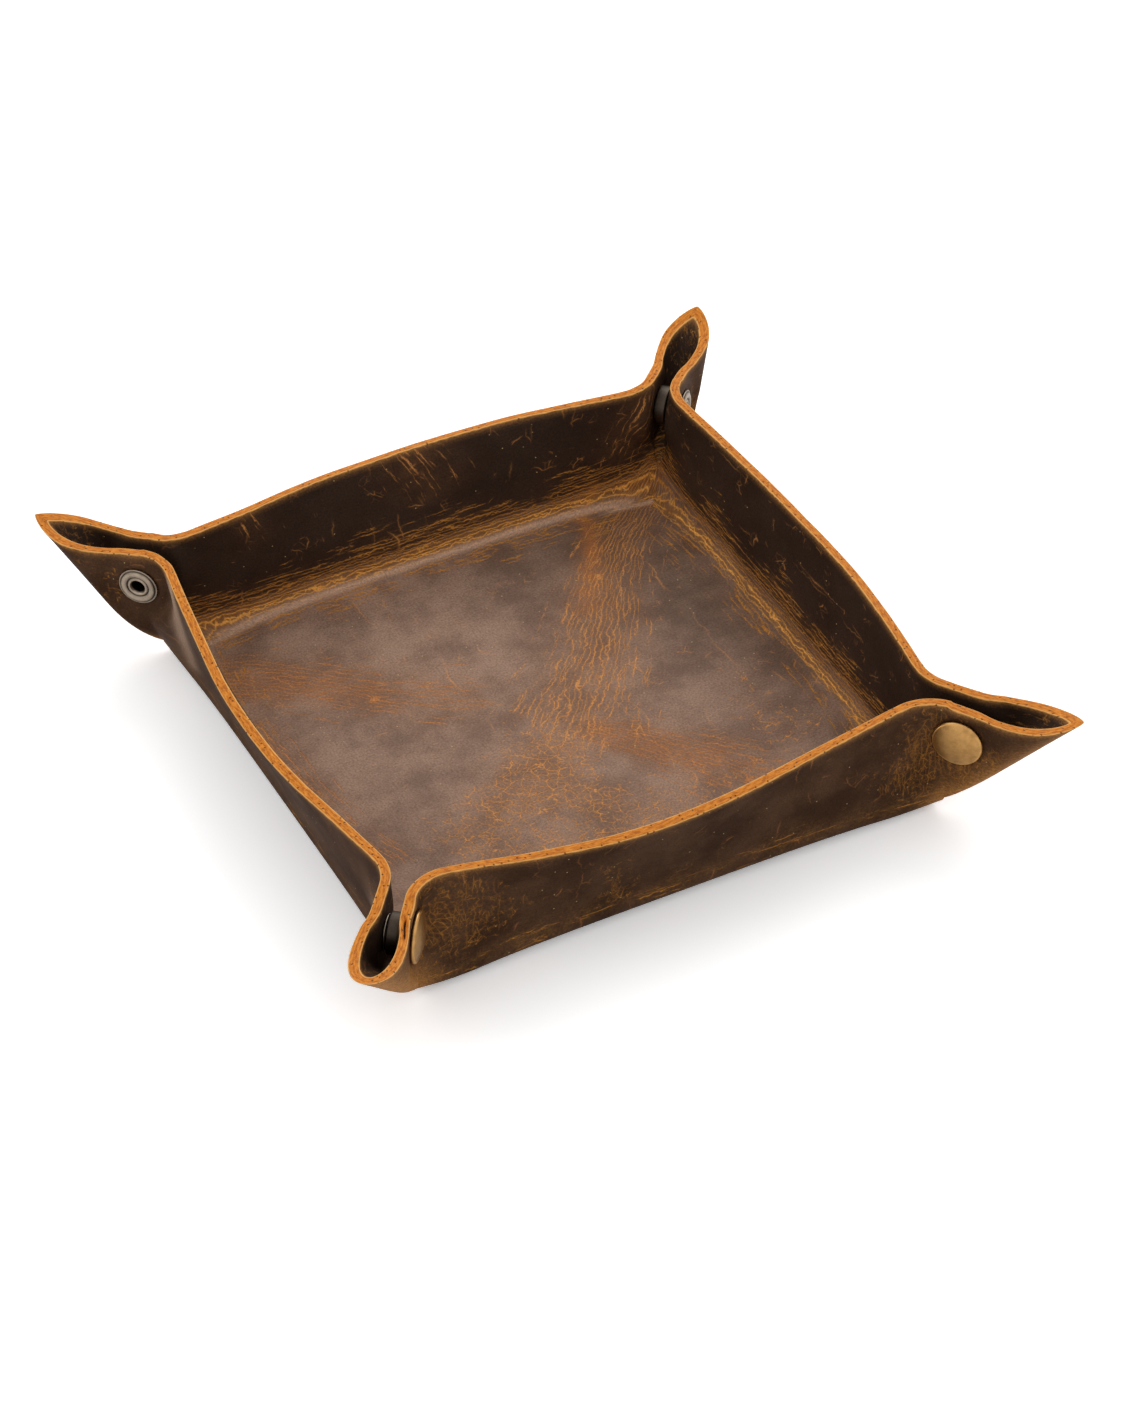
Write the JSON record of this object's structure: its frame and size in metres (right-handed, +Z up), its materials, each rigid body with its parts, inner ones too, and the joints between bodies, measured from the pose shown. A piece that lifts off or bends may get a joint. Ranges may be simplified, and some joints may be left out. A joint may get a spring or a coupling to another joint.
{
  "type": "accessory tray",
  "caption": "Square leather tray folded up from one sheet, with bowed walls and pointed corner ears, each pinched shut by a press stud with a domed cap that snaps open.",
  "frame": {"origin": "middle of the underside of the flat floor", "axes": "+Z up, out of the open top. The walls stand at -Y, +X, +Y and -X, and the ears point along the diagonals. The domed caps face -Y and +Y, the eyelets +X and -X."},
  "size_m": [0.1852, 0.185, 0.0345],
  "materials": {
    "oiled_leather": "oiled pull-up, satin, with worn paler creases",
    "antique_brass": "antique, fine mottled tarnish, satin",
    "aged_nickel": "aged nickel plate, satin",
    "spring_steel": "bright drawn wire"
  },
  "bodies": {
    "tray": {"leather_sheet": "oiled_leather", "front_cap": "antique_brass", "front_socket": "aged_nickel", "front_spring": "spring_steel", "right_cap": "antique_brass", "right_socket": "aged_nickel", "right_spring": "spring_steel", "back_cap": "antique_brass", "back_socket": "aged_nickel", "back_spring": "spring_steel", "left_cap": "antique_brass", "left_socket": "aged_nickel", "left_spring": "spring_steel"},
    "front_stud_leaf": {"front_stud": "aged_nickel", "front_eyelet": "aged_nickel"},
    "right_stud_leaf": {"right_stud": "aged_nickel", "right_eyelet": "aged_nickel"},
    "back_stud_leaf": {"back_stud": "aged_nickel", "back_eyelet": "aged_nickel"},
    "left_stud_leaf": {"left_stud": "aged_nickel", "left_eyelet": "aged_nickel"}
  },
  "joints": [
    {"name": "front_corner_fold", "type": "hinge", "parent": "tray", "child": "front_stud_leaf", "pos_m": [-0.0805, -0.0805, 0.01805], "axis": [-0.4768, -0.4768, 0.7385], "range_deg": [0, 35], "deforming": ["leather_sheet", "front_spring"]},
    {"name": "right_corner_fold", "type": "hinge", "parent": "tray", "child": "right_stud_leaf", "pos_m": [0.0805, -0.0805, 0.01805], "axis": [-0.4768, 0.4768, -0.7385], "range_deg": [0, 35], "deforming": ["leather_sheet", "right_spring"]},
    {"name": "back_corner_fold", "type": "hinge", "parent": "tray", "child": "back_stud_leaf", "pos_m": [0.0805, 0.0805, 0.01805], "axis": [0.4768, 0.4768, 0.7385], "range_deg": [0, 35], "deforming": ["leather_sheet", "back_spring"]},
    {"name": "left_corner_fold", "type": "hinge", "parent": "tray", "child": "left_stud_leaf", "pos_m": [-0.0805, 0.0805, 0.01805], "axis": [0.4768, -0.4768, -0.7385], "range_deg": [0, 35], "deforming": ["leather_sheet", "left_spring"]}
  ]
}
